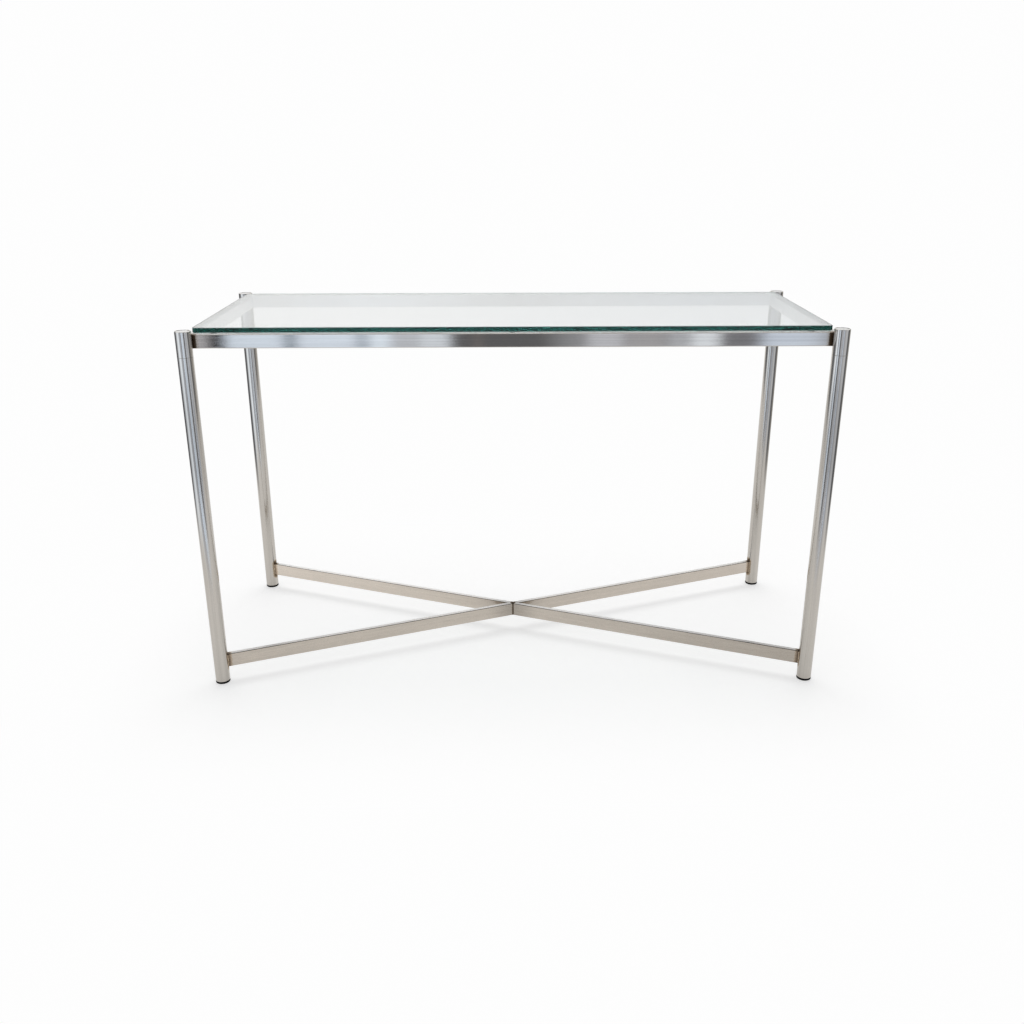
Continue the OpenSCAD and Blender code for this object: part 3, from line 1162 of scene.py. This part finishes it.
@dataclass
class Studio:
    """A white sweep in a dim studio, with light panels that the steel mirrors."""

    radius: float = 3.3
    wall_front: float = 1.43
    wall_side: float = 3.0
    height: float = 2.6
    floor_size: float = 16.0
    paper_side: float = 1.75
    paper_front: float = 1.15
    paper_fade: float = 0.45
    ring_step: float = 0.002
    polish: float = 0.85
    ambient: float = 0.45
    ceiling_ahead: float = 0.24
    ceiling_behind: tuple[float, float] = (0.99, 1.25)
    lamp_power: float = 1.07
    lamp_width: float = 36.0
    lamp_lean: float = 17.0
    dim: Colour = (0.215, 0.225, 0.25)
    panels: tuple[Panel, ...] = (
        Panel(-216.0, -144.0, (0.965, 0.96, 0.955), 14.0),
        Panel(130.0, 176.0, (0.84, 0.85, 0.86), 30.0),
        Panel(100.0, 146.0, (0.54, 0.53, 0.51), 12.0),
        Panel(-88.0, -74.0, (0.85, 0.92, 1.02), 6.0),
        Panel(-75.0, -49.5, (1.60, 1.78, 2.02), 5.0),
        Panel(-49.5, -38.0, (0.78, 0.86, 1.00), 4.0),
        Panel(-37.0, -33.3, (0.80, 0.83, 0.92), 0.4),
        Panel(-33.3, -31.9, (0.03, 0.03, 0.04), 0.3),
        Panel(-31.9, -26.2, (1.32, 1.55, 1.88), 0.4),
        Panel(-26.2, -25.0, (0.50, 0.62, 0.78), 0.5),
        Panel(-25.0, -18.5, (1.36, 1.58, 1.91)),
        Panel(-18.5, -17.2, (0.80, 0.95, 1.18), 0.5),
        Panel(-17.2, -14.4, (1.48, 1.72, 2.05)),
        Panel(-14.4, -11.4, (1.00, 1.10, 1.27), 1.0),
        Panel(-11.4, -7.4, (1.26, 1.41, 1.63), 0.8),
        Panel(-4.2, -3.8, (0.42, 0.38, 0.38), 0.3),
        Panel(6.0, 9.4, (0.58, 0.62, 0.70), 4.5),
        Panel(9.4, 14.3, (0.98, 1.05, 1.20), 1.6),
        Panel(14.3, 19.0, (0.72, 0.75, 0.83), 1.6),
        Panel(19.0, 21.6, (0.86, 0.93, 1.06), 1.4),
        Panel(21.6, 24.9, (1.42, 1.57, 1.78), 0.8),
        Panel(24.9, 28.8, (0.36, 0.38, 0.44), 1.2),
        Panel(28.8, 35.0, (1.12, 1.30, 1.60), 1.4),
        Panel(35.0, 45.0, (0.72, 0.77, 0.87), 4.0),
        Panel(45.0, 72.0, (0.94, 1.00, 1.10), 8.0))

    def glow_at(self, angle: float) -> Colour:
        """Lays each panel over the last.

        Args:
            angle: the direction from straight ahead, in degrees.

        Returns:
            The glow of the wall there.
        """
        glow = self.dim
        for panel in self.panels:
            share = max(panel.share(angle), panel.share(angle + 360), panel.share(angle - 360))
            glow = tuple(a + (b - a) * share for a, b in zip(glow, panel.glow))
        return glow

    def build(self) -> None:
        """Makes the floor, the walls, the lamp and the world."""
        self.build_floor()
        self.build_walls()
        self.build_lamp()
        self.build_world()

    def build_floor(self) -> None:
        """Lays the white paper."""
        deselect()
        bpy.ops.mesh.primitive_plane_add(size=self.floor_size, location=(0, 0, 0))
        floor = bpy.context.active_object
        floor.name = "studio_floor"
        floor.data.materials.append(Paper("studio_paper").material())

    def reach(self, angle: float, side: float, front: float) -> float:
        """Measures from the middle to an outline, in metres.

        Args:
            angle: the direction from straight ahead, in radians.
            side: how far the outline is at the left and right.
            front: how far it is ahead.

        Returns:
            The distance, and the studio's radius at most.
        """
        reach = min(self.radius, side / max(abs(math.sin(angle)), 1e-6))
        return min(reach, front / math.cos(angle)) if math.cos(angle) > 0.01 else reach

    def build_walls(self) -> None:
        """Stands a round wall, and a polished floor round the paper, for the steel to mirror."""
        deselect()
        bpy.ops.mesh.primitive_cylinder_add(vertices=1440, radius=self.radius, depth=self.height,
                                            end_fill_type="NOTHING",
                                            location=(0, 0, self.height / 2))
        wall = bpy.context.active_object
        wall.name = "studio_wall"
        bpy.ops.object.transform_apply(location=True, rotation=True, scale=True)
        pick(wall, lambda point: point.z < self.ring_step)
        for _ in range(2):
            bpy.ops.mesh.extrude_edges_move(
                TRANSFORM_OT_translate={"value": (0, 0, self.ring_step)})
        bpy.ops.object.mode_set(mode="OBJECT")
        side, front = self.paper_side, self.paper_front
        top = (self.wall_side, self.wall_front, 1.0, 1.0)
        rings = ((self.wall_side, self.wall_front, self.polish, 1.0),
                 (side, front, self.polish, 1.0),
                 (side - self.paper_fade, front - self.paper_fade, self.polish, 0.0))
        glow = wall.data.attributes.new("glow", "FLOAT_COLOR", "POINT")
        for vertex in wall.data.vertices:
            angle = math.atan2(vertex.co.x, -vertex.co.y)
            ring = round(vertex.co.z / self.ring_step)
            side, front, level, cover = rings[ring] if ring < len(rings) else top
            away = self.reach(angle, side, front)
            vertex.co.x, vertex.co.y = away * math.sin(angle), -away * math.cos(angle)
            glow.data[vertex.index].color = (*(level * part for part in self.glow_at(
                math.degrees(angle))), cover)
        wall.data.materials.append(Surround("studio_glow").material())
        wall.visible_camera = wall.visible_diffuse = wall.visible_transmission = False
        wall.visible_shadow = wall.visible_volume_scatter = False
        wall.data.materials[0].cycles.emission_sampling = "NONE"

    def build_lamp(self) -> None:
        """Hangs one soft lamp far above and a little behind the table."""
        data = bpy.data.lights.new("studio_lamp", "SUN")
        data.energy, data.angle = self.lamp_power, math.radians(self.lamp_width)
        lamp = bpy.data.objects.new("studio_lamp", data)
        lamp.rotation_euler = (-math.radians(self.lamp_lean), 0.0, 0.0)
        lamp.visible_camera = lamp.visible_glossy = lamp.visible_transmission = False
        bpy.context.scene.collection.objects.link(lamp)

    def build_world(self) -> None:
        """White to look at, dim ahead and bright behind in reflections, and plain as light."""
        world = bpy.data.worlds.new("studio_world")
        bpy.context.scene.world = world
        world.use_nodes = True
        world.node_tree.nodes.clear()
        world.cycles.sampling_method = "NONE"
        graph = Graph(world.node_tree)
        _, back, up = graph.parts(graph.node("TexCoord").outputs["Generated"])
        ceiling = graph.span(back, -0.15, 0.15, self.ceiling_ahead,
                             graph.span(up, 0.25, 0.6, *self.ceiling_behind))
        white = graph.mix(graph.mirrored(), (WHITE,) * 3, graph.join(ceiling, ceiling, ceiling))
        level = graph.mix(graph.seen(), (self.ambient,) * 3, white)
        sky = graph.add("Background", Color=level, Strength=1.0)
        graph.node("OutputWorld", {"Surface": sky})


@dataclass(frozen=True)
class ViewPoint:
    """The camera in front of the table. Lengths in metres, angles in degrees."""

    place: Triple = (-0.0149, -2.0920, 1.0883)
    down: float = 20.152
    right: float = 0.367
    roll: float = 0.146
    lens: float = 34.759
    sensor: float = 36.0
    shift_y: float = -0.0121

    def build(self) -> None:
        """Makes the camera and gives it to the scene."""
        data = bpy.data.cameras.new("studio_camera")
        data.lens, data.sensor_width, data.shift_y = self.lens, self.sensor, self.shift_y
        camera = bpy.data.objects.new("studio_camera", data)
        turn = (Matrix.Rotation(-math.radians(self.right), 4, "Z")
                @ Matrix.Rotation(math.radians(90 - self.down), 4, "X")
                @ Matrix.Rotation(-math.radians(self.roll), 4, "Z"))
        camera.matrix_world = Matrix.Translation(self.place) @ turn
        bpy.context.scene.collection.objects.link(camera)
        bpy.context.scene.camera = camera


def main() -> None:
    """Builds and dresses the table, then sets up the studio around it."""
    logging.basicConfig(level=logging.INFO, format="%(name)s: %(message)s")
    layout = Layout()
    frame, legs, stretcher = TopFrame(layout), LegSet(layout), Stretcher(layout)
    GlassTop().dress()
    frame.build()
    frame.dress()
    legs.dress()
    stretcher.build()
    stretcher.dress()
    Studio().build()
    ViewPoint().build()
    scene = bpy.context.scene
    for kind in ("max", "glossy", "transmission"):
        setattr(scene.cycles, f"{kind}_bounces", BOUNCES)
    scene.view_settings.view_transform = "Standard"


if __name__ == "__main__":
    main()
